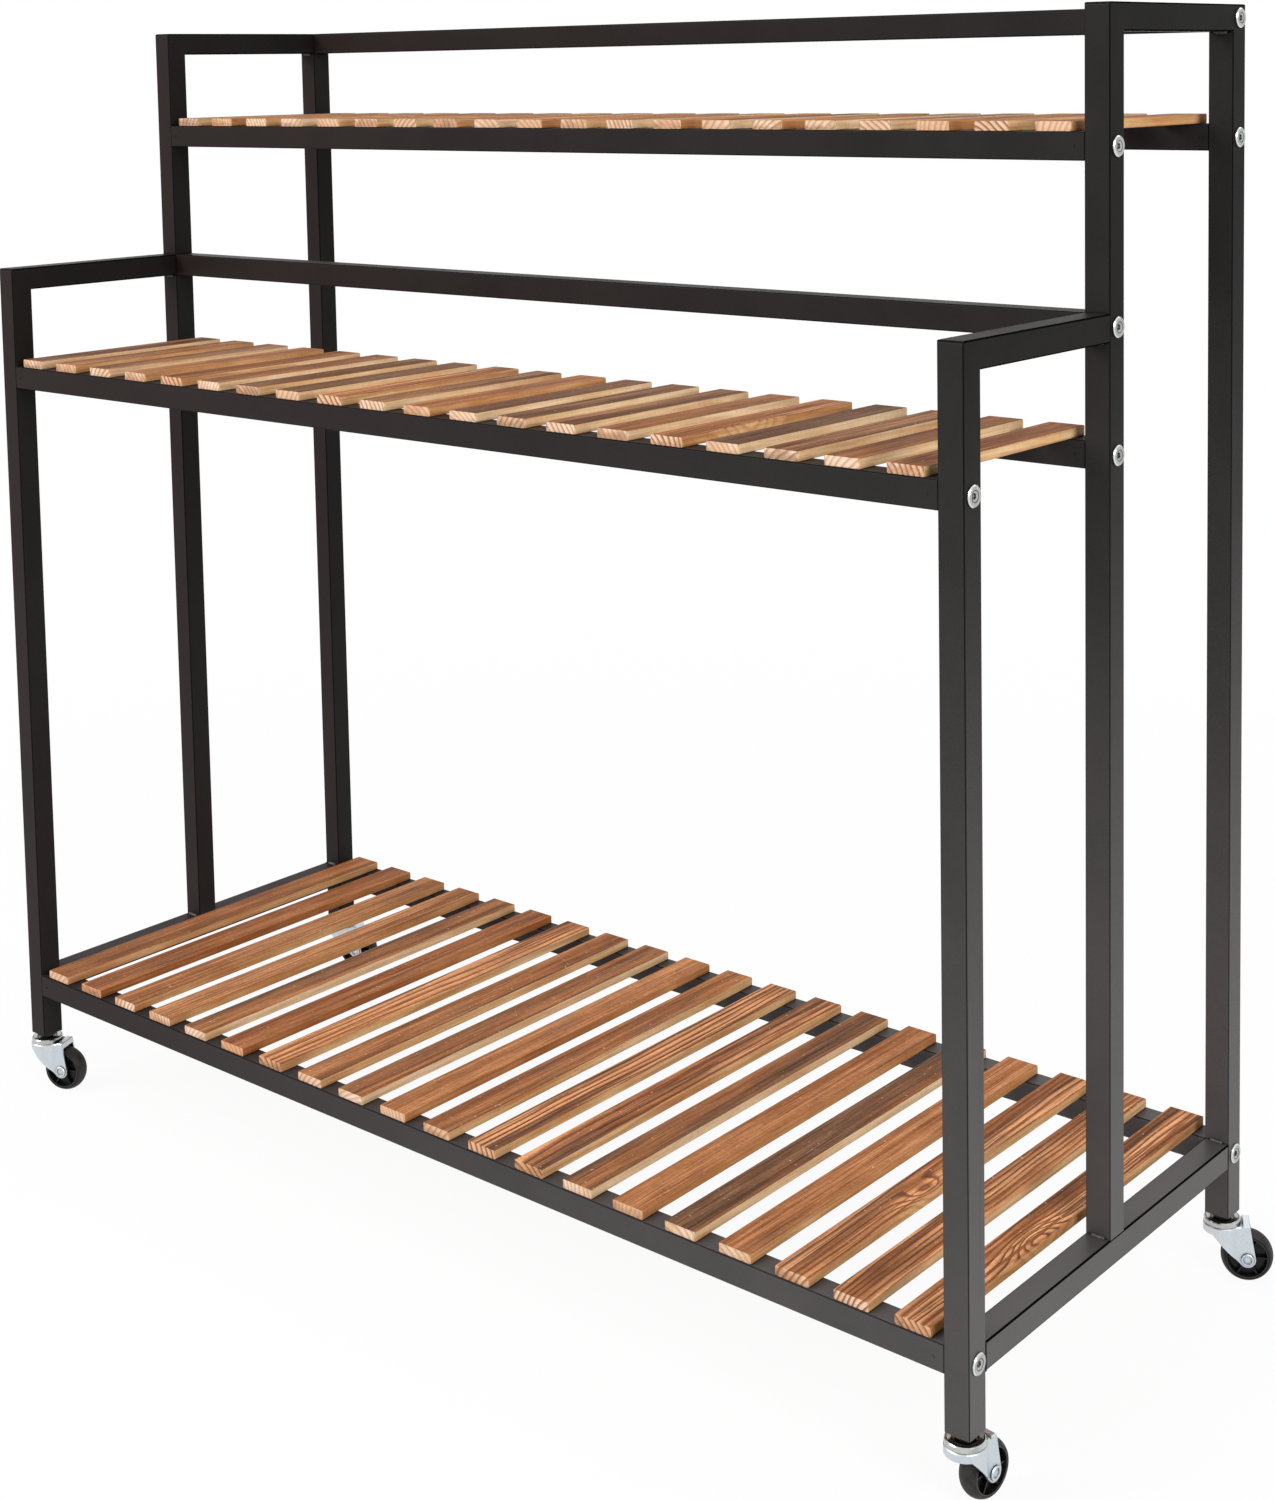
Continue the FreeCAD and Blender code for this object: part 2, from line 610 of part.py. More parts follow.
def wheel():
    """Wheel with a crowned tread, recessed sides, ribs and a bored hub."""
    half = WHEEL_WIDTH / 2
    hub = HUB_WIDTH / 2
    web = WHEEL_WEB / 2
    bore = AXLE_RADIUS + RUNNING_GAP
    edge_radius = WHEEL_RADIUS - WHEEL_CROWN
    rim_foot = WHEEL_RIM_INNER - WHEEL_RIM_DRAFT
    one_side = [
        Vector(bore, hub, 0),
        Vector(HUB_RADIUS, hub, 0),
        Vector(HUB_RADIUS, web, 0),
        Vector(rim_foot, web, 0),
        Vector(WHEEL_RIM_INNER, half, 0),
        Vector(edge_radius - EDGE_BREAK, half, 0),
        Vector(edge_radius, half - EDGE_BREAK, 0),
    ]
    other_side = [Vector(point.x, -point.y, 0) for point in reversed(one_side)]
    sides = Part.makePolygon(other_side + one_side)
    tread = Part.Arc(one_side[-1], Vector(WHEEL_RADIUS, 0, 0), other_side[0]).toShape()
    face = Part.Face(Part.Wire(sides.Edges + [tread]))
    body = face.revolve(Vector(0, 0, 0), Vector(0, 1, 0), 360)
    body = body.fuse([wheel_rib(360 * index / RIB_COUNT) for index in range(RIB_COUNT)])
    body = body.removeSplitter()
    body.translate(Vector(CASTER_TRAIL, 0, AXLE_Z))
    return body


def wheel_rib(turn):
    """One rib from hub to rim, on both sides of the web."""
    depth = WHEEL_WIDTH / 2 - RIB_RECESS
    half_rib = RIB_THICKNESS / 2
    rib = box(HUB_RADIUS - RIB_ROOT, WHEEL_RIM_INNER + RIB_ROOT, -depth, depth, -half_rib, half_rib)
    rib.rotate(Vector(0, 0, 0), Vector(0, 1, 0), turn)
    return rib


def casters():
    """Every caster piece and leg insert, in its place under a leg."""
    pieces = {}
    builders = {
        "caster_stem_": caster_stem,
        "caster_race_": upper_race,
        "caster_balls_": caster_balls,
        "caster_fork_": fork,
        "caster_axle_": axle,
        "caster_wheel_": wheel,
    }
    for corner, swivel in CASTER_SWIVEL.items():
        x = HALF_LENGTH - TUBE / 2 if "right" in corner else -HALF_LENGTH + TUBE / 2
        y = FRONT_Y + TUBE / 2 if "front" in corner else REAR_Y + TUBE / 2
        place = Placement(Vector(x, y, 0), Rotation(Vector(0, 0, 1), swivel))
        insert = leg_insert()
        insert.translate(Vector(x, y, 0))
        pieces["leg_insert_" + corner] = insert
        for prefix, builder in builders.items():
            piece = builder()
            piece.Placement = place.multiply(piece.Placement)
            pieces[prefix + corner] = piece
    return pieces


def all_parts():
    parts = {}
    for side in (-1, 1):
        parts.update(side_frame(side))
    for name in RAILS:
        parts[name] = cross_rail(name)
    ends = [(name, side) for name in RAILS for side in (-1, 1)]
    parts["rail_end_nuts"] = Part.makeCompound([rail_end_nut(*end) for end in ends])
    parts["connector_bolts"] = Part.makeCompound([connector_bolt(*end) for end in ends])
    for name, rails in SHELVES.items():
        slats, screws = shelf(*rails)
        parts[name + "_slats"] = slats
        parts[name + "_slat_screws"] = screws
    parts.update(casters())
    return parts


def base_centre(parts):
    """Middle of the whole cart's outline on the floor, casters included."""
    limits = Part.makeCompound(list(parts.values())).optimalBoundingBox(False)
    return Vector(limits.Center.x, limits.Center.y, 0)


def main():
    os.makedirs("parts", exist_ok=True)
    parts = all_parts()
    shift = base_centre(parts).multiply(-1)
    for name, shape in parts.items():
        shape.translate(shift)
        shape.exportStep("parts/" + name + ".step")


main()
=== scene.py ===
import json
import math
import random

import bmesh
import bpy
from mathutils import Euler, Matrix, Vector, noise


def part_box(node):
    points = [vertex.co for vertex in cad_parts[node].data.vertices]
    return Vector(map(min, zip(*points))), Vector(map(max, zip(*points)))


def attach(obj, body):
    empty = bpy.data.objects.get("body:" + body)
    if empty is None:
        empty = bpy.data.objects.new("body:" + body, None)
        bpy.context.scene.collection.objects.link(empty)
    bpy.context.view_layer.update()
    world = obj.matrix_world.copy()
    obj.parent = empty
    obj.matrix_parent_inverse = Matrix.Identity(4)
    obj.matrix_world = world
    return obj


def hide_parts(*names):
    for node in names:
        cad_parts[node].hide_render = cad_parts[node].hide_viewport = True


# Looks of the flower cart stand.  Lengths are metres, in the frame of the solids.

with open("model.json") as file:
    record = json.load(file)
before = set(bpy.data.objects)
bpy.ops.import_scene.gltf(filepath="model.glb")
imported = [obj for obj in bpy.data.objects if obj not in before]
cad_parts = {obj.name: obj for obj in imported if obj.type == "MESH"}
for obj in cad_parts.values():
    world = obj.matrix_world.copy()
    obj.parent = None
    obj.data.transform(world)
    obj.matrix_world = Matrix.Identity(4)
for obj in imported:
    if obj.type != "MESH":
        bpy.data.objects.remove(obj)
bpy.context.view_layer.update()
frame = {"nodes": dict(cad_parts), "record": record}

# --- photograph's frame ---
PHOTO_WIDTH = 1275
PHOTO_HEIGHT = 1500
FOCAL_PIXELS = 2278.7
OPTICAL_CENTRE = (702.6, 267.8)
SENSOR_WIDTH = 36.0
CAMERA_PLACE = (1.6009, -1.7252, 1.1800)
CAMERA_TURN = (84.968, 0.915, 39.542)
CAMERA_REACH = 200.0

# --- names ---
SIDES = ("left", "right")
CORNERS = ("front_left", "front_right", "rear_left", "rear_right")
SHELVES = ("bottom", "middle", "top")
RAILS = (
    "bottom_front_rail", "bottom_rear_rail", "middle_front_rail", "middle_rear_rail",
    "middle_guard_rail", "top_front_rail", "top_rear_rail", "top_guard_rail",
)
MAIN_BODY = "stand"

# --- slats: the shares are of an eased edge's width ---
SLAT_COUNT = 20
SLAT_WIDTH = 0.036
SLAT_EDGE = 0.0009
SLAT_END_EDGE = 0.0005
EDGE_BEND = 0.3
EDGE_SUPPORT = 2.2
END_SUPPORT = 4
EDGE_WEAR = 0.6
SLAT_STATIONS = 13
SLAT_SHARP_ANGLE = 50
# Depth of the hollows in a slat's top, and the steps of their noise from board to board
# and along x, y and z.
SLAT_WAVE = 0.00012
WAVE_PER_BOARD = 7
WAVE_PER_METRE = (4, 9, 3)

# --- wood figure: a pair is the range that a slat's number is drawn from ---
PITH_TURN = (0.25, 0.95)
PITH_REACH = (0.045, 0.105)
PITH_SLOPE = 0.014
RING_SPACING = (0.0046, 0.0064)
KNOT_WIDTH = 0.012
KNOT_LENGTH = 0.032
PLAIN_KNOT_X = 0.014
PLAIN_KNOT_Y = (-0.15, 0.05)
FIGURED_KNOT_X = 0.011
FIGURED_KNOT_Y = (-0.08, 0.0)
FIGURED_KNOT_SIZE = (0.020, 0.026)
TONE_SPREAD = 0.05
STRIPE_SPREAD = (0.9, 1.05)
PALE_SPREAD = 0.08
SEED_RANGE = (1.0, 60.0)

# --- welds, and strips of painted shadow at seams: angles in radians ---
WELD_LENGTH = 0.014
WELD_RADIUS = 0.0028
WELD_RIPPLE = 0.10
WELD_RIPPLE_ANGLE = 40
WELD_PHASE = 6.28
WELD_STEPS = 22
WELD_SIDES = 10
WELD_BLUNTNESS = 8
WELD_END_SHARE = 0.08
WELD_UNEVENNESS = 0.05
SEAM_WIDTH = 0.0020
SEAM_RISE = 0.00012

# --- painted rings on round parts, each line's radius and half width: painted shade on the bolts and races, and a painted highlight on the wheels ---
BOLT_MOUTH_SHADE = (0.0048, 0.00055)
RACE_OUTER_SHADE = (0.0158, 0.00045)
RACE_INNER_SHADE = (0.0108, 0.0007)
WHEEL_RIM_HIGHLIGHT = (0.0194, 0.0004)

# --- radii between which one finish gives way to another: a painted highlight on the bolt's bevel, and the wheel's tread round its face ---
BOLT_BEVEL_HIGHLIGHT = (0.0078, 0.0086)
WHEEL_TREAD = (0.0200, 0.0210)

# Where the search for the nearest bolt's axis starts: farther than any of them.
FARTHEST = 1.0

# --- colours and finishes that materials share ---
WHITE = (1.0, 1.0, 1.0)
# painted shade: the dark colour, and its share, that fills the metal parts' crevices and recesses
PAINTED_SHADE = (0.030, 0.029, 0.028)
PAINTED_SHADE_SHARE = 0.85
CREVICE_SAMPLES = 8
# Each plating: cool tint, warm tint, roughness, how much scratches add to it, and how far
# the painted shade in its crevices reaches.
PLATINGS = {
    "race_nickel": ((0.72, 0.72, 0.70), (0.62, 0.61, 0.58), 0.10, 0.12, 0.0030),
    "zinc_plate": ((0.60, 0.67, 0.73), (0.66, 0.69, 0.71), 0.34, 0.18, 0.0036),
    # the stem's dark tints are a painted reflection of the black leg above it
    "stem_steel": ((0.20, 0.21, 0.20), (0.13, 0.13, 0.13), 0.10, 0.10, 0.0040),
}

# --- studio ---
FLOOR_SIZE = 80.0
FLOOR_COLOUR = (0.86, 0.86, 0.86)
FLOOR_WHITE_NEAR = 0.93
FLOOR_WHITE_SPAN = (0.8, 3.0)
WORLD_COLOUR = (0.97, 0.985, 1.0)
WORLD_LIGHT = 0.55
# Each softbox: name, place, target, width and height, power.
SOFTBOXES = (
    ("key", (-2.6, -3.4, 3.4), (0.0, 0.0, 0.5), (2.6, 2.0), 150.0),
    ("fill", (4.0, -1.5, 2.6), (0.0, 0.0, 0.5), (2.0, 2.0), 118.0),
    ("top", (0.0, 2.6, 3.6), (0.0, 0.0, 0.4), (3.2, 1.6), 30.0),
)

# Character of each kind of slat.  Tone runs from light to scorched brown, stripe is how
# strongly the growth rings show, pale is how light the sides are and ruddy is how red the
# end grain is.
SLAT_KINDS = {
    "red": {"tone": 0.60, "stripe": 0.15, "pale": 0.42, "ruddy": 0.5},
    "ember": {"tone": 0.56, "stripe": 0.25, "pale": 0.16, "ruddy": 1.0},
    "gold": {"tone": 0.38, "stripe": 0.45, "pale": 0.46, "ruddy": 0.0},
    "brown": {"tone": 0.52, "stripe": 0.30, "pale": 0.58, "ruddy": 0.3},
    "sap": {"tone": 0.64, "stripe": 0.15, "pale": 0.84, "ruddy": 0.0},
    "tan": {"tone": 0.30, "stripe": 0.14, "pale": 0.34, "ruddy": 0.35},
    "blaze": {"tone": 0.58, "stripe": 1.00, "pale": 0.66, "ruddy": 0.6},
    "striped": {"tone": 0.46, "stripe": 1.00, "pale": 0.66, "ruddy": 0.2},
    "figured": {"tone": 0.40, "stripe": 1.00, "pale": 0.54, "ruddy": 0.2},
    "dark": {"tone": 1.06, "stripe": 0.16, "pale": 0.88, "ruddy": 0.1},
    "char": {"tone": 0.92, "stripe": 0.50, "pale": 0.80, "ruddy": 0.1},
}
# The slats of each shelf, left to right.
SHELF_KINDS = {
    "bottom": [
        "red", "ember", "gold", "gold", "sap", "ember", "blaze", "brown", "sap", "tan",
        "brown", "blaze", "blaze", "sap", "tan", "dark", "tan", "figured", "striped", "figured",
    ],
    "middle": [
        "char", "brown", "char", "gold", "blaze", "sap", "char", "dark", "blaze", "char",
        "tan", "dark", "char", "char", "sap", "figured", "dark", "char", "sap", "striped",
    ],
    "top": [
        "char", "tan", "gold", "sap", "red", "gold", "char", "brown", "sap", "tan",
        "gold", "char", "tan", "dark", "gold", "sap", "char", "tan", "striped", "red",
    ],
}


# ---------------------------------------------------------------- node graphs

class Graph:
    """A material's node tree, with short ways to add and join nodes."""

    def __init__(self, name):
        self.material = bpy.data.materials.new(name)
        self.material.use_nodes = True
        self.tree = self.material.node_tree
        self.tree.nodes.clear()
        self.output = self.tree.nodes.new("ShaderNodeOutputMaterial")

    def node(self, kind, **settings):
        made = self.tree.nodes.new("ShaderNode" + kind)
        for key, value in settings.items():
            setattr(made, key, value)
        return made

    def put(self, socket, value):
        """Links a socket to value, or sets it where value is a number or a colour."""
        if isinstance(value, bpy.types.NodeSocket):
            self.tree.links.new(value, socket)
        else:
            socket.default_value = value

    def calc(self, operation, *values, clamp=False):
        made = self.node("Math", operation=operation, use_clamp=clamp)
        for index, value in enumerate(values):
            self.put(made.inputs[index], value)
        return made.outputs[0]

    def add(self, *values):
        return self.calc("ADD", *values)

    def times(self, *values, clamp=False):
        return self.calc("MULTIPLY", *values, clamp=clamp)

    def greatest(self, *values):
        return self.calc("MAXIMUM", *values)

    def centred(self, value, gain):
        """Value less a half, times gain."""
        return self.times(self.calc("SUBTRACT", value, 0.5), gain)

    def line_at(self, value, ring):
        """1 where value is within the ring's half width of its radius."""
        return self.calc("COMPARE", value, *ring)

    def vector(self, operation, *values, output="Vector"):
        made = self.node("VectorMath", operation=operation)
        for index, value in enumerate(values):
            self.put(made.inputs[index], value)
        return made.outputs[output]

    def measure(self, operation, *values):
        """Vector operation that gives one number."""
        return self.vector(operation, *values, output="Value")

    def join(self, x, y, z):
        made = self.node("CombineXYZ")
        for index, value in enumerate((x, y, z)):
            self.put(made.inputs[index], value)
        return made.outputs[0]

    def split(self, vector):
        made = self.node("SeparateXYZ")
        self.put(made.inputs[0], vector)
        return made.outputs

    def attribute(self, name, output="Vector"):
        return self.node("Attribute", attribute_name=name).outputs[output]

    def place(self):
        """Point on the object, in the frame of the solids."""
        return self.node("TexCoord").outputs["Object"]

    def facing(self):
        """How far the surface faces along x, y and z, each 0 to 1."""
        return self.split(self.vector("ABSOLUTE", self.node("NewGeometry").outputs["Normal"]))

    def noise(self, vector, scale, detail=2.0, rough=0.5):
        made = self.node("TexNoise")
        self.put(made.inputs["Vector"], vector)
        made.inputs["Scale"].default_value = scale
        made.inputs["Detail"].default_value = detail
        made.inputs["Roughness"].default_value = rough
        return made.outputs["Fac"]

    def span(self, value, low, high, to_low=0.0, to_high=1.0):
        """Smooth step of value from low to high, onto to_low to to_high."""
        made = self.node("MapRange", clamp=True, interpolation_type="SMOOTHSTEP")
        for socket, number in zip(made.inputs, (value, low, high, to_low, to_high)):
            self.put(socket, number)
        return made.outputs[0]

    def ramp(self, value, stops):
        made = self.node("ValToRGB")
        elements = made.color_ramp.elements
        while len(elements) < len(stops):
            elements.new(0.5)
        for element, (place, colour) in zip(elements, stops):
            element.position = place
            element.color = (*colour, 1.0)
        self.put(made.inputs[0], value)
        return made.outputs[0]

    def mix(self, share, first, second, mode="MIX"):
        made = self.node("Mix", data_type="RGBA", blend_type=mode)
        self.put(made.inputs[0], share)
        for socket, value in ((made.inputs[6], first), (made.inputs[7], second)):
            self.put(socket, value if isinstance(value, bpy.types.NodeSocket) else (*value, 1.0))
        return made.outputs[2]

    def shade(self, colour, factor):
        """Colour times a varying grey."""
        return self.mix(1.0, colour, self.join(factor, factor, factor), "MULTIPLY")

    def bump(self, height, distance, strength=1.0, base=None):
        made = self.node("Bump")
        made.inputs["Strength"].default_value = strength
        made.inputs["Distance"].default_value = distance
        self.put(made.inputs["Height"], height)
        if base is not None:
            self.put(made.inputs["Normal"], base)
        return made.outputs[0]

    def crevice(self, distance, low=0.35, high=0.95):
        """Mask for painted shade: 0 on open faces, 1 in corners and recesses nearer than distance.
        """
        made = self.node("AmbientOcclusion", samples=CREVICE_SAMPLES)
        made.inputs["Distance"].default_value = distance
        return self.span(made.outputs["AO"], low, high, 1.0, 0.0)

    def surface(self, colour, roughness, metallic=0.0, specular=0.5, normal=None):
        """Ends the graph in a principled shader and returns the material."""
        shader = self.node("BsdfPrincipled")
        self.put(shader.inputs["Base Color"], colour)
        self.put(shader.inputs["Roughness"], roughness)
        shader.inputs["Metallic"].default_value = metallic
        self.put(shader.inputs["Specular IOR Level"], specular)
        if normal is not None:
            self.put(shader.inputs["Normal"], normal)
        self.put(self.output.inputs["Surface"], shader.outputs[0])
        return self.material


# ---------------------------------------------------------------- coated tubes

def powder_coat():
    """Black satin powder coat: fine orange peel, thin arrises painted dark, a painted sheen low
    down and to the right, and dust specks.
    """
    g = Graph("powder_coat")
    place = g.place()
    cloud = g.noise(place, 9.0, 4.0, 0.6)
    speck = g.noise(place, 900.0, 2.0, 0.6)
    spot = g.split(place)
    facing = g.facing()

    # painted light: the lower and right-hand tubes are painted lighter, most on their side faces,
    # and the upper side faces are painted darker towards the right; dust specks gather low down
    flank = g.span(facing[0], 0.4, 0.8)
    low = g.span(g.add(spot[2], g.times(cloud, 0.10)), 0.02, 1.12, 1.0, 0.0)
    right_lit_share = g.span(spot[0], -0.70, 0.80, 0.10, 1.0)
    lower_right_sheen = g.times(low, right_lit_share)
    upper_front_shading = g.mix(right_lit_share, (0.0170, 0.0105, 0.0098), (0.0175, 0.0160, 0.0152))
    upper_side_shading = g.mix(right_lit_share, (0.0110, 0.0095, 0.0088), (0.0030, 0.0025, 0.0022))
    upper_shading = g.mix(flank, upper_front_shading, upper_side_shading)
    lower_sheen = g.mix(flank, (0.0600, 0.0535, 0.0525), (0.0860, 0.0800, 0.0780))
    tone = g.mix(lower_right_sheen, upper_shading, lower_sheen)
    tone = g.shade(tone, g.span(g.add(cloud, g.times(speck, 0.5)), 0.5, 1.0, 0.86, 1.14))
    dust = g.times(g.span(speck, 0.62, 0.78), g.times(low, 0.08))
    colour = g.mix(dust, tone, (0.16, 0.15, 0.14))

    # painted shade: rounded arrises, lips and crevices are painted dark, and lose their sheen
    squarest = g.greatest(facing[0], g.greatest(facing[1], facing[2]))
    arris = g.span(squarest, 0.80, 0.985, 0.85, 0.0)
    lip_shade = g.span(g.times(facing[0], facing[2]), 0.02, 0.16)
    edge_shade = g.greatest(g.greatest(arris, lip_shade), g.crevice(0.0045, 0.30, 0.75))
    colour = g.mix(edge_shade, colour, (0.003, 0.003, 0.003))

    shine = g.times(g.span(lower_right_sheen, 0.0, 0.9, 0.07, 0.26), g.calc("SUBTRACT", 1.0, edge_shade))
    roughness = g.span(cloud, 0.25, 0.75, 0.40, 0.50)
    peel = g.bump(g.noise(place, 420.0, 2.0, 0.5), 0.00025, 0.35)
    return g.surface(colour, roughness, specular=shine, normal=g.bump(speck, 0.00008, 0.30, peel))


def weld_coat():
    """The same coat over a weld bead, a little glossier on its crests."""
    g = Graph("weld_coat")
    lump = g.noise(g.place(), 500.0, 3.0, 0.6)
    colour = g.ramp(lump, [(0.3, (0.020, 0.018, 0.017)), (0.8, (0.040, 0.037, 0.034))])
    peel = g.bump(lump, 0.0004, 0.6)
    return g.surface(colour, g.span(lump, 0.3, 0.7, 0.30, 0.48), specular=0.6, normal=peel)


def seam_shadow():
    """Painted shadow: the dark line that stands for the shade in a close joint between two coated
    tubes.
    """
    g = Graph("seam_shadow")
    grain = g.noise(g.place(), 700.0, 3.0, 0.6)
    colour = g.ramp(grain, [(0.3, (0.0025, 0.0023, 0.0022)), (0.8, (0.0090, 0.0080, 0.0075))])
    return g.surface(colour, g.span(grain, 0.3, 0.7, 0.6, 0.8), specular=0.1)


def insert_plastic():
    """Matt black moulded plastic of the leg inserts."""
    g = Graph("insert_plastic")
    grain = g.noise(g.place(), 1100.0, 2.0, 0.6)
    colour = g.ramp(grain, [(0.3, (0.018, 0.017, 0.016)), (0.8, (0.032, 0.030, 0.028))])
    rough = g.span(grain, 0.3, 0.7, 0.5, 0.62)
    return g.surface(colour, rough, specular=0.4, normal=g.bump(grain, 0.00012, 0.4))


# ---------------------------------------------------------------- wood

class Board(Graph):
    """A slat's own facts, and the noises that its top, sides and ends share."""

    def __init__(self, name):
        super().__init__(name)
        self.local = self.attribute("local")
        self.tone, self.stripe, self.pale = self.split(self.attribute("look"))
        self.seed, self.spacing, self.ruddy = self.split(self.attribute("more"))
        self.seeded = self.vector("ADD", self.local, self.join(self.seed, self.seed, self.seed))

        # noises drawn out along the slat, from coarse to fine
        self.blotch = self.grain(24.0, 8.0)
        self.quick = self.grain(70.0, 16.0)
        self.streak = self.grain(330.0, 4.0)
        self.fibre = self.grain(1000.0, 28.0)
        self.late = self.late_wood()

        # light and dark of brushed fibres, crossed by the saw's marks
        saw = self.grain(160.0, 420.0, 2.0)
        brushed = self.add(self.times(self.fibre, 0.72), self.times(saw, 0.28))
        self.brushed = self.span(brushed, 0.32, 0.68, 0.66, 1.32)

        # how far the fire browned the skin, and the colour that this gives
        broad = self.centred(self.grain(75.0, 1.8), 2.3)
        scorch = self.add(self.tone, self.add(broad, self.centred(self.streak, 1.9)))
        self.scorch = self.add(scorch, self.centred(self.blotch, 0.45))
        self.ground = self.ramp(self.scorch, [
            (0.00, (0.520, 0.240, 0.105)), (0.25, (0.420, 0.175, 0.068)),
            (0.50, (0.315, 0.115, 0.040)), (0.75, (0.220, 0.084, 0.034)),
            (1.00, (0.125, 0.058, 0.030)),
        ])

    def grain(self, across, along, detail=3.0, rough=0.6):
        """Noise drawn out along the slat."""
        stretched = self.vector("MULTIPLY", self.seeded, (across, along, across))
        return self.noise(stretched, 1.0, detail, rough)

    def late_wood(self):
        """Growth rings about a pith line that lies off the slat, bent round a knot."""
        x, y, z = self.split(self.local)
        pith_x, pith_z, slope = self.split(self.attribute("pith"))
        knot_x, knot_y, knot_size = self.split(self.attribute("knot"))
        off_x = self.add(self.add(x, pith_x), self.times(y, slope))
        off_z = self.add(z, pith_z)
        squares = self.add(self.calc("POWER", off_x, 2.0), self.calc("POWER", off_z, 2.0))
        far_x = self.calc("DIVIDE", self.calc("SUBTRACT", x, knot_x), KNOT_WIDTH)
        far_y = self.calc("DIVIDE", self.calc("SUBTRACT", y, knot_y), KNOT_LENGTH)
        far = self.add(self.calc("POWER", far_x, 2.0), self.calc("POWER", far_y, 2.0))
        bulge = self.times(self.calc("EXPONENT", self.times(far, -1.0)), knot_size)
        slow = self.centred(self.grain(14.0, 2.6, 2.0), 0.018)
        waver = self.add(slow, self.centred(self.quick, 0.0024))
        bent = self.add(self.calc("SQRT", squares), waver)
        ring = self.calc("FRACT", self.calc("DIVIDE", self.add(bent, bulge), self.spacing))
        profile = ((0.00, 0.85), (0.08, 0.0), (0.50, 0.06), (0.78, 0.80), (0.92, 1.0), (1.00, 0.85))
        return self.split(self.ramp(ring, [(at, (dark, dark, dark)) for at, dark in profile]))[0]

    def top(self):
        """Scorched top: long streaks, brushed fibre and greyer burnt patches."""
        line = self.ramp(self.scorch, [
            (0.00, (0.23, 0.070, 0.022)), (0.50, (0.115, 0.036, 0.014)),
            (1.00, (0.040, 0.018, 0.011)),
        ])
        patch = self.span(self.grain(44.0, 2.2), 0.40, 0.62)
        bright = self.times(self.times(self.stripe, patch), 0.85)
        top = self.mix(bright, self.ground, (0.90, 0.44, 0.205))
        top = self.mix(self.span(self.streak, 0.38, 0.46, 0.85, 0.0), top, line)
        rings = self.times(self.late, self.times(self.stripe, 0.95), clamp=True)
        top = self.mix(rings, top, line)
        burnt = self.span(self.add(self.blotch, self.centred(self.fibre, 0.5)), 0.55, 0.70)
        top = self.mix(self.times(burnt, 0.30), top, (0.185, 0.120, 0.085))
        top = self.shade(top, self.brushed)
        reddened = self.mix(1.0, top, (1.04, 0.88, 0.78), "MULTIPLY")
        top = self.mix(self.times(self.ruddy, 0.60), top, reddened)
        speck = self.span(self.noise(self.seeded, 240.0, 1.0, 0.5), 0.745, 0.775)
        top = self.mix(self.times(speck, 0.55), top, (0.80, 0.60, 0.42))
        fleck = self.span(self.grain(360.0, 130.0, 2.0), 0.70, 0.77)
        return self.mix(self.times(fleck, 0.60), top, (0.70, 0.46, 0.29))

    def side(self):
        """Sides keep more sapwood, in patches, with amber marks."""
        sapwood = self.add(self.pale, self.centred(self.grain(9.0, 7.0), 1.1))
        side = self.ramp(self.add(sapwood, self.centred(self.streak, 0.7)), [
            (0.00, (0.260, 0.085, 0.026)), (0.35, (0.440, 0.195, 0.072)),
            (0.65, (0.600, 0.355, 0.165)), (1.00, (0.720, 0.520, 0.320)),
        ])
        rings = self.times(self.late, self.add(self.times(self.stripe, 0.35), 0.10))
        side = self.mix(rings, side, (0.30, 0.115, 0.040))
        return self.mix(0.45, side, self.shade(side, self.brushed))

    def end(self):
        """Raw end grain, smeared with scorch at its arrises."""
        pore = self.noise(self.seeded, 1500.0, 2.0, 0.6)
        cream = self.mix(self.span(self.blotch, 0.35, 0.65), (0.86, 0.63, 0.45), (0.72, 0.46, 0.29))
        end = self.mix(self.ruddy, cream, (0.70, 0.375, 0.205))
        end = self.shade(end, self.span(pore, 0.3, 0.7, 0.80, 1.10))
        rings = self.times(self.late, self.add(self.times(self.stripe, 0.62), 0.34), clamp=True)
        end = self.mix(rings, end, (0.210, 0.070, 0.027))
        smear = self.add(self.attribute("arris", "Fac"), self.centred(self.quick, 1.2))
        return self.mix(self.times(self.span(smear, 0.35, 0.95), 0.55), end, self.ground)


def scorched_pine():
    """Brushed and scorched pine: growth rings, fibres, pale sides and raw end grain."""
    g = Board("scorched_pine")
    facing = g.facing()
    skin = g.mix(g.span(facing[0], 0.50, 0.85), g.top(), g.side())
    colour = g.mix(g.span(facing[1], 0.6, 0.8), skin, g.end())
    grooves = g.bump(g.add(g.times(g.late, 0.55), g.times(g.fibre, 0.45)), 0.00045, 0.6)
    roughness = g.span(g.add(g.late, g.fibre), 0.3, 1.5, 0.66, 0.50)
    return g.surface(colour, roughness, specular=0.06, normal=grooves)


# ---------------------------------------------------------------- metal and wheels

def drifting(g, place, scale, cool, warm):
    """Metal colour that drifts between two tints."""
    drift = g.noise(place, scale, 3.0, 0.6)
    return g.mix(g.span(drift, 0.32, 0.68), cool, warm)


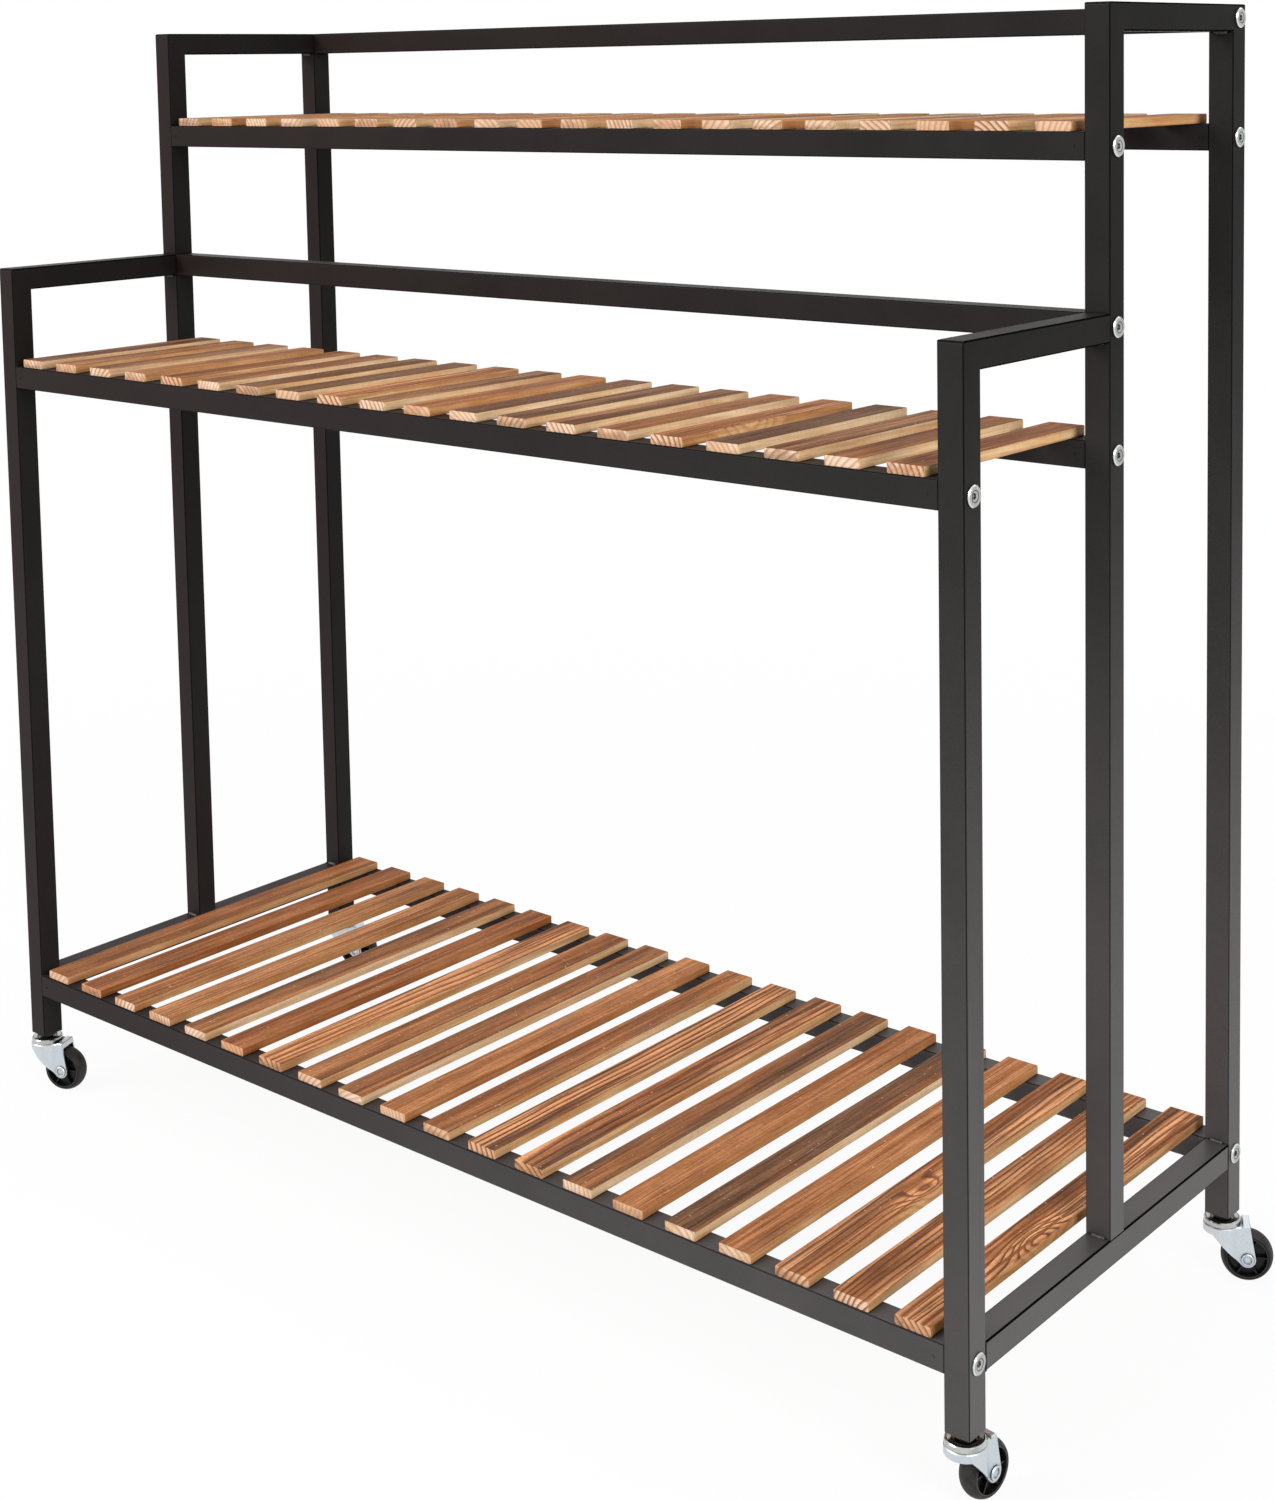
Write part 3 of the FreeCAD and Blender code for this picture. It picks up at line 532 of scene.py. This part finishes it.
def plated(name, cool, warm, roughness, scratched, reach):
    """Plated steel: tint drift, fine scratches, handling marks, and painted shade in its crevices.
    """
    g = Graph(name)
    place = g.place()
    scratch = g.noise(g.vector("MULTIPLY", place, (2600.0, 300.0, 500.0)), 1.0, 2.0, 0.6)
    spangle = g.noise(place, 700.0, 3.0, 0.7)
    colour = drifting(g, place, 55.0, cool, warm)
    colour = g.shade(colour, g.span(spangle, 0.35, 0.75, 1.0, 0.86))
    # painted shade: crevices and recesses are painted dark
    colour = g.mix(g.times(g.crevice(reach, 0.55, 1.0), PAINTED_SHADE_SHARE), colour, PAINTED_SHADE)
    rough = g.add(g.times(scratch, scratched), roughness)
    fine = g.bump(g.add(scratch, spangle), 0.00006, 0.25)
    return g.surface(colour, rough, metallic=1.0, normal=fine)


def axle_axis(corner):
    """Level direction of the axle, from its offset behind the swivel."""
    stem = [Vector(end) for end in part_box("caster_stem_" + corner)]
    hub = [Vector(end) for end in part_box("caster_axle_" + corner)]
    trail = (hub[0] + hub[1] - stem[0] - stem[1]) / 2
    return Vector((-trail.y, trail.x, 0.0)).normalized()


def distance_from_axis(g, place, node, axis):
    """Distance of a point from the line along axis through the middle of a node."""
    low, high = (Vector(end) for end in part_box(node))
    off = g.vector("SUBTRACT", place, tuple((low + high) / 2))
    return g.measure("LENGTH", g.vector("CROSS_PRODUCT", off, tuple(axis)))


def turned(g, radius, frequency):
    """Fine rings about an axis, as a lathe leaves them."""
    return g.noise(g.join(radius, 0.0, 0.0), frequency, 2.0, 0.6)


def turned_metal(g, colour, rings, roughness):
    """Bright metal whose roughness and relief follow its turned rings."""
    rough = g.add(g.times(rings, 0.14), roughness)
    return g.surface(colour, rough, metallic=1.0, normal=g.bump(rings, 0.00008, 0.4))


def bolt_nickel():
    """Bolt heads: brushed nickel, with a painted highlight on the bevel, a dark ring of painted
    shade where the socket's mouth begins, and painted shade in the crevices.
    """
    g = Graph("bolt_nickel")
    place = g.place()
    nearest = FARTHEST
    for rail in RAILS:
        nearest = g.calc("MINIMUM", nearest, distance_from_axis(g, place, rail, (1.0, 0.0, 0.0)))
    rings = turned(g, nearest, 1800.0)
    colour = drifting(g, place, 120.0, (0.50, 0.52, 0.49), (0.36, 0.375, 0.35))
    # painted highlight: the bevel is painted bright; painted shade: a dark ring at the socket's
    # mouth and in the crevices under the head
    colour = g.mix(g.span(nearest, *BOLT_BEVEL_HIGHLIGHT), colour, (0.72, 0.73, 0.71))
    mouth = g.times(g.line_at(nearest, BOLT_MOUTH_SHADE), 0.80)
    dark = g.greatest(mouth, g.times(g.crevice(0.0022), 0.75))
    return turned_metal(g, g.mix(dark, colour, PAINTED_SHADE), rings, 0.14)


def turned_race(corner):
    """Bright turned race, with two rings of painted shade where it meets the fork and the stem's
    dome, and painted shade in its crevices.
    """
    g = Graph("race_" + corner)
    place = g.place()
    radius = distance_from_axis(g, place, "caster_race_" + corner, (0.0, 0.0, 1.0))
    rings = turned(g, radius, 2200.0)
    colour = drifting(g, place, 90.0, (0.56, 0.57, 0.55), (0.42, 0.42, 0.40))
    # painted shade: dark rings where the race meets the fork below and the stem's dome inside, and
    # in its crevices
    joint_shade = g.greatest(g.line_at(radius, RACE_OUTER_SHADE), g.line_at(radius, RACE_INNER_SHADE))
    dark = g.greatest(joint_shade, g.crevice(0.0045, 0.45, 1.0))
    colour = g.mix(g.times(dark, 0.90), colour, (0.040, 0.038, 0.034))
    return turned_metal(g, colour, rings, 0.10)


def wheel_coat(corner):
    """Black wheel: textured tread with dust specks round a glossier, darker moulded face, with a
    painted highlight ring at the rim and painted shade in its recesses.
    """
    g = Graph("wheel_" + corner)
    place = g.place()
    axis = axle_axis(corner)
    radius = distance_from_axis(g, place, "caster_axle_" + corner, axis)
    sideways = g.measure("DOT_PRODUCT", g.node("TexCoord").outputs["Normal"], tuple(axis))
    crown = g.span(g.calc("ABSOLUTE", sideways), 0.55, 0.85, 1.0, 0.0)
    tread = g.times(g.span(radius, *WHEEL_TREAD), crown)
    grit = g.noise(place, 1100.0, 3.0, 0.7)
    cloud = g.noise(place, 110.0, 3.0, 0.6)
    face = g.ramp(cloud, [(0.3, (0.0040, 0.0036, 0.0034)), (0.75, (0.0105, 0.0095, 0.0088))])
    outer = g.mix(g.span(cloud, 0.35, 0.70), (0.0160, 0.0140, 0.0130), (0.0380, 0.0335, 0.0305))
    outer = g.mix(g.span(grit, 0.60, 0.72, 0.0, 0.45), outer, (0.17, 0.15, 0.135))
    colour = g.mix(tread, face, outer)
    # painted highlight: a lighter ring at the rim; painted shade: dark recesses
    colour = g.mix(g.times(g.line_at(radius, WHEEL_RIM_HIGHLIGHT), 0.4), colour, (0.090, 0.084, 0.080))
    colour = g.mix(g.crevice(0.006), colour, (0.0025, 0.0023, 0.0022))
    rough = g.add(g.span(tread, 0.0, 1.0, 0.22, 0.52), g.span(cloud, 0.3, 0.7, 0.0, 0.12))
    return g.surface(colour, rough, specular=0.20, normal=g.bump(grit, 0.00015, 0.5))


# ---------------------------------------------------------------- stage materials

def pale_floor():
    """Pale studio floor: white to the lens and to reflections, keeping the soft shadow."""
    g = Graph("pale_floor")
    matt = g.node("BsdfDiffuse")
    matt.inputs["Color"].default_value = (*FLOOR_COLOUR, 1.0)
    glow = g.node("Emission")
    glow.inputs["Color"].default_value = (*WHITE, 1.0)
    glow.inputs["Strength"].default_value = 1.0
    ray = g.node("LightPath").outputs
    reflected = g.greatest(ray["Is Glossy Ray"], ray["Is Transmission Ray"])
    seen = g.greatest(ray["Is Camera Ray"], reflected)
    distance = g.measure("LENGTH", g.vector("MULTIPLY", g.place(), (1.0, 1.0, 0.0)))
    share = g.span(distance, *FLOOR_WHITE_SPAN, FLOOR_WHITE_NEAR, 1.0)
    blend = g.node("MixShader")
    g.put(blend.inputs[0], g.times(seen, share))
    g.put(blend.inputs[1], matt.outputs[0])
    g.put(blend.inputs[2], glow.outputs[0])
    g.put(g.output.inputs["Surface"], blend.outputs[0])
    return g.material


MATERIALS = {
    "powder_coat": powder_coat(),
    "weld_coat": weld_coat(),
    "seam_shadow": seam_shadow(),
    "scorched_pine": scorched_pine(),
    "bolt_nickel": bolt_nickel(),
    "insert_plastic": insert_plastic(),
}
for plating_name, plating_facts in PLATINGS.items():
    MATERIALS[plating_name] = plated(plating_name, *plating_facts)
for corner_name in CORNERS:
    MATERIALS["race_" + corner_name] = turned_race(corner_name)
    MATERIALS["wheel_" + corner_name] = wheel_coat(corner_name)


# ---------------------------------------------------------------- mesh helpers

def new_piece(name, bm, material, body, slot, *nodes):
    """Turns a bmesh into a visible piece, and returns its mesh."""
    mesh = bpy.data.meshes.new(name)
    bm.to_mesh(mesh)
    bm.free()
    mesh.materials.append(MATERIALS[material])
    piece = bpy.data.objects.new(name, mesh)
    bpy.context.scene.collection.objects.link(piece)
    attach(piece, body)
    if nodes:
        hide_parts(*nodes)
    return mesh


def bridge(bm, first, second):
    """Joins two closed rings of vertices with quads."""
    count = len(first)
    for index in range(count):
        after = (index + 1) % count
        bm.faces.new((first[index], first[after], second[after], second[index]))


def add_block(bm, corner, size):
    """Adds a box from its lowest corner."""
    made = bmesh.ops.create_cube(bm, size=1.0)
    for vert in made["verts"]:
        share = vert.co + Vector((0.5, 0.5, 0.5))
        vert.co = corner + Vector((share.x * size.x, share.y * size.y, share.z * size.z))


# ---------------------------------------------------------------- slats

def slat_section(half_width, half_height, inset):
    """Cross-section as (x, z, arris share), with eased long edges."""
    w = half_width - inset
    h = half_height - inset
    e = SLAT_EDGE
    s = e * EDGE_BEND
    quarter = [
        (w - e * EDGE_SUPPORT, h, 0.0), (w - e, h, EDGE_WEAR),
        (w - s, h - s, 1.0), (w, h - e, EDGE_WEAR),
    ]
    right_low = [(x, -z, a) for x, z, a in reversed(quarter)]
    left_low = [(-x, -z, a) for x, z, a in quarter]
    left_top = [(-x, z, a) for x, z, a in reversed(quarter)]
    return quarter + right_low + left_low + left_top


def slat_stations(half_length):
    """(y, inset) from one end to the other, with eased ends."""
    ease = SLAT_END_EDGE
    bend = ease * EDGE_BEND
    body = half_length - END_SUPPORT * ease
    middle = [(-body + 2 * body * i / (SLAT_STATIONS - 1), 0.0) for i in range(SLAT_STATIONS)]
    start = [(-half_length, ease), (-half_length + bend, bend), (-half_length + ease, 0.0)]
    finish = [(-y, inset) for y, inset in reversed(start)]
    return start + middle + finish


def slat_character(kind, rng):
    """Numbers that the wood reads for one slat."""
    facts = SLAT_KINDS[kind]
    turn = rng.uniform(*PITH_TURN)
    far = rng.uniform(*PITH_REACH)
    sign = rng.choice((-1.0, 1.0))
    knot = (rng.choice((-PLAIN_KNOT_X, PLAIN_KNOT_X)), rng.uniform(*PLAIN_KNOT_Y), 0.0)
    if kind == "figured":
        knot = (FIGURED_KNOT_X, rng.uniform(*FIGURED_KNOT_Y), rng.uniform(*FIGURED_KNOT_SIZE))
    return {
        "look": (
            facts["tone"] + rng.uniform(-TONE_SPREAD, TONE_SPREAD),
            facts["stripe"] * rng.uniform(*STRIPE_SPREAD),
            facts["pale"] + rng.uniform(-PALE_SPREAD, PALE_SPREAD),
        ),
        "pith": (
            sign * far * math.cos(turn),
            far * math.sin(turn),
            rng.uniform(-PITH_SLOPE, PITH_SLOPE),
        ),
        "knot": knot,
        "more": (rng.uniform(*SEED_RANGE), rng.uniform(*RING_SPACING), facts["ruddy"]),
    }


def add_slat(bm, centre, half, character, layers, arris):
    """One slat, its top slightly hollowed, with its board's numbers on every vertex."""
    by_x, by_y, by_z = WAVE_PER_METRE
    previous = None
    for y, inset in slat_stations(half.y):
        ring = []
        for x, z, worn in slat_section(half.x, half.z, inset):
            spot = Vector((centre.x * WAVE_PER_BOARD + x * by_x, (centre.y + y) * by_y, z * by_z))
            hollow = abs(noise.noise(spot) * SLAT_WAVE) * (z > 0)
            vert = bm.verts.new((centre.x + x, centre.y + y, centre.z + z - hollow))
            vert[layers["local"]] = Vector((x, y, z))
            vert[arris] = worn
            for name, value in character.items():
                vert[layers[name]] = Vector(value)
            ring.append(vert)
        if previous is None:
            bm.faces.new(ring)
        else:
            bridge(bm, ring, previous)
        previous = ring
    bm.faces.new(list(reversed(previous)))


def slats(shelf):
    """All slats of one shelf, each with its own board's figure."""
    low, high = (Vector(corner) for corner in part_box(shelf + "_slats"))
    rng = random.Random("slats of the " + shelf + " shelf")
    pitch = (high.x - low.x - SLAT_WIDTH) / (SLAT_COUNT - 1)
    half = Vector((SLAT_WIDTH / 2, (high.y - low.y) / 2, (high.z - low.z) / 2))
    bm = bmesh.new()
    names = ("local", "look", "pith", "knot", "more")
    layers = {name: bm.verts.layers.float_vector.new(name) for name in names}
    arris = bm.verts.layers.float.new("arris")
    for index, kind in enumerate(SHELF_KINDS[shelf]):
        x = low.x + SLAT_WIDTH / 2 + pitch * index
        centre = Vector((x, (low.y + high.y) / 2, (low.z + high.z) / 2))
        add_slat(bm, centre, half, slat_character(kind, rng), layers, arris)
    wood = "scorched_pine"
    mesh = new_piece(shelf + "_slats_wood", bm, wood, MAIN_BODY, wood, shelf + "_slats")
    mesh.shade_smooth()
    mesh.set_sharp_from_angle(angle=math.radians(SLAT_SHARP_ANGLE))


# ---------------------------------------------------------------- welds, and painted shadows at seams

def weld_bead(bm, start, end, rng):
    """A rippled bead from start to end along one axis."""
    line = end - start
    along = line.normalized()
    first = along.orthogonal().normalized()
    second = along.cross(first)
    phase = rng.uniform(0, WELD_PHASE)
    previous = None
    for step in range(WELD_STEPS + 1):
        share = step / WELD_STEPS
        taper = math.sqrt(max(0.0, 1 - (2 * share - 1) ** WELD_BLUNTNESS))
        wave = WELD_RIPPLE * math.sin(share * WELD_RIPPLE_ANGLE + phase)
        ripple = 1 + wave + rng.uniform(-WELD_UNEVENNESS, WELD_UNEVENNESS)
        size = max(WELD_RADIUS * taper * ripple, WELD_RADIUS * WELD_END_SHARE)
        centre = start + line * share
        ring = []
        for side in range(WELD_SIDES):
            angle = 2 * math.pi * side / WELD_SIDES
            off = size * (math.cos(angle) * first + math.sin(angle) * second)
            ring.append(bm.verts.new(centre + off))
        if previous is None:
            bm.faces.new(list(reversed(ring)))
        else:
            bridge(bm, previous, ring)
        previous = ring
    bm.faces.new(previous)


def corner_lines(label):
    """Ends of each weld bead of one side frame, as the corner where two tubes meet."""
    box = {name: [Vector(c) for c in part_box(name + "_" + label)] for name in (
        "front_post", "middle_post", "rear_post", "bottom_side_rail", "middle_arm", "top_arm")}
    low, high = box["bottom_side_rail"]
    joints = [(low.y, high.z), (low.y, low.z), (high.y, high.z), (high.y, low.z)]
    foot_low, foot_high = box["middle_post"]
    joints += [(foot_low.y, foot_low.z), (foot_high.y, foot_low.z)]
    arm_low, arm_high = box["middle_arm"]
    joints += [(arm_high.y, arm_low.z), (box["front_post"][1].y, arm_low.z)]
    top_low = box["top_arm"][0]
    joints += [(foot_high.y, top_low.z), (box["rear_post"][0].y, top_low.z)]
    middle = (low.x + high.x) / 2
    half = WELD_LENGTH / 2
    return [(Vector((middle - half, y, z)), Vector((middle + half, y, z))) for y, z in joints]


def weld_beads():
    """The beads of both side frames."""
    rng = random.Random("weld beads")
    for label in SIDES:
        bm = bmesh.new()
        for start, end in corner_lines(label):
            weld_bead(bm, start, end, rng)
        mesh = new_piece("weld_beads_" + label, bm, "weld_coat", MAIN_BODY, "powder_coat")
        mesh.shade_smooth()


def rail_seam_shadows():
    """Thin dark strips of painted shadow where each bottom side rail meets its end posts."""
    for label in SIDES:
        low, high = (Vector(end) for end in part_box("bottom_side_rail_" + label))
        bm = bmesh.new()
        for x in (low.x - SEAM_RISE, high.x):
            for y in (low.y, high.y):
                corner = Vector((x, y - SEAM_WIDTH / 2, low.z))
                add_block(bm, corner, Vector((SEAM_RISE, SEAM_WIDTH, high.z - low.z)))
        new_piece("rail_seam_shadows_" + label, bm, "seam_shadow", MAIN_BODY, "powder_coat")


# ---------------------------------------------------------------- stage

def stage():
    """The floor that the cart stands on."""
    bpy.ops.mesh.primitive_plane_add(size=FLOOR_SIZE, location=(0.0, 0.0, 0.0))
    floor = bpy.context.object
    floor.name = "studio_floor"
    floor.data.materials.append(pale_floor())


def world_light():
    """Soft room light, seen as plain white by the lens and by reflections."""
    world = bpy.data.worlds.new("studio")
    world.use_nodes = True
    tree = world.node_tree
    tree.nodes.clear()
    output = tree.nodes.new("ShaderNodeOutputWorld")
    room = tree.nodes.new("ShaderNodeBackground")
    room.inputs["Color"].default_value = (*WORLD_COLOUR, 1.0)
    room.inputs["Strength"].default_value = WORLD_LIGHT
    white = tree.nodes.new("ShaderNodeBackground")
    white.inputs["Color"].default_value = (*WHITE, 1.0)
    white.inputs["Strength"].default_value = 1.0
    path = tree.nodes.new("ShaderNodeLightPath")
    seen = path.outputs["Is Camera Ray"]
    for other in ("Is Glossy Ray", "Is Transmission Ray"):
        either = tree.nodes.new("ShaderNodeMath")
        either.operation = "MAXIMUM"
        tree.links.new(seen, either.inputs[0])
        tree.links.new(path.outputs[other], either.inputs[1])
        seen = either.outputs[0]
    blend = tree.nodes.new("ShaderNodeMixShader")
    tree.links.new(seen, blend.inputs[0])
    tree.links.new(room.outputs[0], blend.inputs[1])
    tree.links.new(white.outputs[0], blend.inputs[2])
    tree.links.new(blend.outputs[0], output.inputs["Surface"])
    bpy.context.scene.world = world


def softbox(name, place, target, size, power):
    """A rectangular lamp at place, turned to target."""
    light = bpy.data.lights.new(name, "AREA")
    light.shape = "RECTANGLE"
    light.size, light.size_y = size
    light.energy = power
    lamp = bpy.data.objects.new(name, light)
    lamp.location = place
    direction = Vector(target) - Vector(place)
    lamp.rotation_euler = direction.to_track_quat("-Z", "Y").to_euler()
    bpy.context.scene.collection.objects.link(lamp)


def camera():
    """The photograph's camera, as it was solved from the frame's edges."""
    data = bpy.data.cameras.new("photo_camera")
    data.sensor_fit = "HORIZONTAL"
    data.sensor_width = SENSOR_WIDTH
    data.lens = FOCAL_PIXELS / PHOTO_WIDTH * SENSOR_WIDTH
    data.shift_x = (PHOTO_WIDTH / 2 - OPTICAL_CENTRE[0]) / PHOTO_WIDTH
    data.shift_y = (OPTICAL_CENTRE[1] - PHOTO_HEIGHT / 2) / PHOTO_WIDTH
    data.clip_end = CAMERA_REACH
    eye = bpy.data.objects.new("photo_camera", data)
    eye.location = CAMERA_PLACE
    eye.rotation_euler = Euler([math.radians(angle) for angle in CAMERA_TURN])
    bpy.context.scene.collection.objects.link(eye)
    bpy.context.scene.camera = eye


def dress_nodes():
    """Gives every carried-over solid the finish of its slot, or its own finer one."""
    slots = {part["node"]: part["material_slot"] for part in frame["record"]["subparts"]}
    finish = {}
    for corner in CORNERS:
        finish["caster_race_" + corner] = "race_" + corner
        finish["caster_wheel_" + corner] = "wheel_" + corner
        finish["caster_stem_" + corner] = "stem_steel"
    for node, piece in frame["nodes"].items():
        name = finish.get(node, slots[node])
        for slot in piece.material_slots:
            slot.material = MATERIALS[name]


dress_nodes()
for shelf_name in SHELVES:
    slats(shelf_name)
weld_beads()
rail_seam_shadows()
stage()
world_light()
for lamp_facts in SOFTBOXES:
    softbox(*lamp_facts)
camera()
bpy.context.scene.view_settings.view_transform = "Standard"
